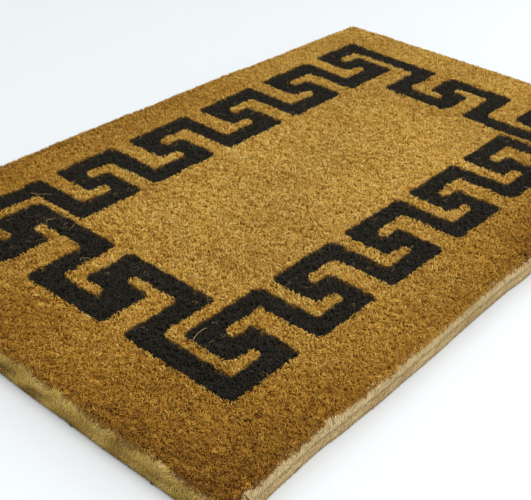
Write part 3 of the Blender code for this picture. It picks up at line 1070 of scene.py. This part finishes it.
def knot_coil(rng, x, y, z, outward):
    """A short coil of twine that stands for a knot, a little off its chain."""
    turns = np.linspace(0, 3.4 * 2 * math.pi, 34)
    size = rng.uniform(0.6, 0.95)
    coil = np.zeros((len(turns), 3))
    coil[:, 0] = x + outward * rng.uniform(-1.0, 0.7) * MM + 1.1 * MM * size * np.cos(turns)
    coil[:, 1] = y + rng.uniform(-4, 4) * MM + 1.7 * MM * size * (turns / turns[-1] * 2 - 1)
    coil[:, 2] = z + 1.1 * MM * size * np.sin(turns)
    return coil


def make_lashing():
    """Dark twine along each short end, with a coiled knot at each chain but the outer two."""
    half_chain = 3.1 * MM
    knots = sorted(box_of(node)[0][1] + half_chain for node in nodes_named("warp_chain"))[1:-1]
    for name in ("end_lashing_left", "end_lashing_right"):
        low, high = box_of(name)
        middle = (low + high) / 2
        cord_in_box(name, "twine", 1, 2, 4.0 * MM, TWINE, "coir_twine", 6, 5, radius=0.9 * MM)
        outward = math.copysign(1.0, middle[0])
        rng = np.random.default_rng(SEED + 65)
        coils = np.stack([knot_coil(rng, middle[0], y, middle[2], outward) for y in knots])
        fibre_object(f"{name}_knots", coils, np.full(len(coils), 0.62 * MM),
                     np.full(len(coils), 0.5), TWINE, (name,), 0.0, 5)


# ---- loose fibres


# Stray fibres seen in the photo: start, end, rise and sideways bow, in millimetres. The
# first is the longest and thickest.
SEEN_ARCHES = (
    ((-274, -100), (-252, -95), 7.0, 1.0),
    ((-236, 122), (-226, 118), 2.0, 3.5),
    ((-211, 175), (-198, 158), 2.0, -3.0),
    ((-256, 53), (-249, 46), 2.0, 3.0),
    ((-230, 99), (-218, 104), 2.0, -2.0),
    ((-330, -73), (-323, -69), 5.0, 1.0),
    ((-330, -55), (-323, -47), 5.5, -1.0),
    ((-209, -109), (-198, -106), 5.0, 1.0),
    ((-177, -146), (-169, -146), 4.5, 1.0),
    ((-39, -145), (-30, -144), 4.0, -1.0),
)

# Loops of fine fibre seen in the photo, in millimetres.
SEEN_LOOPS = (
    (-231, 10), (-230, -3), (-255, 51), (-260, 102),
    (-213, 192), (-211, 171), (-227, 105), (-218, -111),
)


def arched_strays():
    """Long pale fibres that arch from one place to another."""
    share = np.linspace(0, 1, 15)
    hump = np.sin(0.85 * math.pi * share**0.7)
    paths = []
    for start, end, rise, bow in SEEN_ARCHES:
        start, end = np.array(start) * MM, np.array(end) * MM
        way = end - start
        side = np.array((-way[1], way[0])) / np.linalg.norm(way)
        plan = start + np.outer(share**1.5, way) + np.outer(hump * bow * MM, side)
        level = PILE_TOP - 1.5 * MM + (rise * hump + 0.5 * np.sin(3 * math.pi * share)) * MM
        paths.append(np.column_stack([plan, level]))
    return np.stack(paths)


def scattered_strays(count, low, high, seed):
    """Curled fibres that lie anywhere on the pile, low to high millimetres long."""
    rng = np.random.default_rng(seed)
    x = rng.uniform(-HALF_X + 0.02, HALF_X - 0.02, count)
    y = rng.uniform(-HALF_Y + 0.02, HALF_Y - 0.02, count)
    roots = np.stack([x, y, np.full(count, PILE_TOP - 1.0 * MM)], 1)
    lean = rng.uniform(1.2, 1.5, count)
    bend = rng.uniform(0.0, 0.5, count)
    turn = rng.uniform(0, 2 * math.pi, count)
    twist = rng.normal(0, 3.0, count)
    length = rng.uniform(low, high, count) * MM
    return grow(roots, lean, turn, bend, twist, length, 9)


def looped_strays():
    """Fine fibres in open loops on the black key: some where the photo shows them."""
    rng = np.random.default_rng(SEED + 73)
    loose = rng.uniform(-1, 1, (260, 2)) * (HALF_X, HALF_Y)
    loose = loose[region_of(loose[:, 0], loose[:, 1]) == IN_KEY]
    middle = np.concatenate([np.array(SEEN_LOOPS) * MM, loose])
    count = len(middle)
    share = np.linspace(0, 1, 13)
    angle = rng.uniform(0, 2 * math.pi, (count, 1)) + share * rng.uniform(2.5, 6.0, (count, 1))
    size = rng.uniform(1.8, 3.6, (count, 1)) * MM * (1 - 0.3 * share)
    x = middle[:, :1] + size * np.cos(angle)
    y = middle[:, 1:] + size * np.sin(angle)
    level = KEY_TOP + 0.9 * MM + 0.8 * MM * np.sin(angle * 1.5)
    return np.stack([x, y, level], 2)


def stray_object(name, paths, radius, tone, sides=3):
    fibre_object(name, paths, radius, tone, STRAY, (), 0.3, sides)


def make_strays():
    """Loose fibres on the pile: seen arches, curls, fine loops on the key, and lint."""
    rng = np.random.default_rng(SEED + 70)
    arches = arched_strays()
    radius = np.array((0.16, *[0.10] * (len(arches) - 1))) * MM
    stray_object("stray_arches", arches, radius, rng.uniform(0.6, 1, len(arches)), 4)
    curls = scattered_strays(120, 5, 13, SEED + 71)
    radius = rng.uniform(0.09, 0.14, len(curls)) * MM
    stray_object("stray_curls", curls, radius, rng.uniform(0, 0.7, len(curls)))
    loops = looped_strays()
    radius = np.full(len(loops), 0.11 * MM)
    stray_object("stray_loops", loops, radius, rng.uniform(0, 0.4, len(loops)))
    lint = scattered_strays(500, 1.0, 3.0, SEED + 72)
    radius = rng.uniform(0.07, 0.12, len(lint)) * MM
    stray_object("stray_lint", lint, radius, rng.uniform(0, 0.8, len(lint)))


# ---- stage


def make_stage():
    paint = Nodes("floor_paint")
    paint.shader.inputs["Base Color"].default_value = FLOOR_COLOUR
    paint.shader.inputs["Roughness"].default_value = 0.6
    mesh = bpy.data.meshes.new("floor")
    corners = ((-1, -1), (1, -1), (1, 1), (-1, 1))
    points = [(x * FLOOR_REACH, y * FLOOR_REACH, 0) for x, y in corners]
    mesh.from_pydata(points, [], [(0, 1, 2, 3)])
    mesh.materials.append(paint.material)
    floor = bpy.data.objects.new("floor", mesh)
    bpy.context.scene.collection.objects.link(floor)


def make_camera():
    data = bpy.data.cameras.new("camera")
    data.lens = CAMERA_LENS
    data.sensor_width = 36.0
    data.clip_start = 0.01
    camera = bpy.data.objects.new("camera", data)
    camera.location = CAMERA_PLACE
    camera.rotation_euler = [math.radians(angle) for angle in CAMERA_TURN]
    bpy.context.scene.collection.objects.link(camera)
    bpy.context.scene.camera = camera


def area_light(name, place, target, size, power, colour):
    data = bpy.data.lights.new(name, "AREA")
    data.size = size
    data.energy = power
    data.color = colour
    light = bpy.data.objects.new(name, data)
    light.location = place
    way = Vector(target) - Vector(place)
    light.rotation_euler = way.to_track_quat("-Z", "Y").to_euler()
    bpy.context.scene.collection.objects.link(light)


# Name, place, target, size, watts and colour. The softbox is high behind the camera, to
# its right. The side light gives the left end its soft shadow.
LIGHTS = (
    ("softbox", (-0.22, -1.60, 1.90), (-0.08, -0.05, 0.0), 1.6, 43.0, (1.0, 0.985, 0.96)),
    ("side_light", (6.0, 1.5, 3.2), (0.0, 0.0, 0.0), 2.4, 90.0, (1.0, 0.99, 0.97)),
)


def make_lights():
    world = bpy.data.worlds.new("studio")
    world.use_nodes = True
    background = world.node_tree.nodes["Background"]
    background.inputs["Color"].default_value = SKY_COLOUR
    background.inputs["Strength"].default_value = 1.0
    bpy.context.scene.world = world
    for light in LIGHTS:
        area_light(*light)
    bpy.context.scene.view_settings.view_transform = "Standard"


make_camera()
make_pile()
make_flank_felt()
make_flank_fibres()
make_rim_fibres()
make_edges()
make_chains()
make_stuffers()
make_weft()
make_lashing()
make_strays()
make_stage()
make_lights()
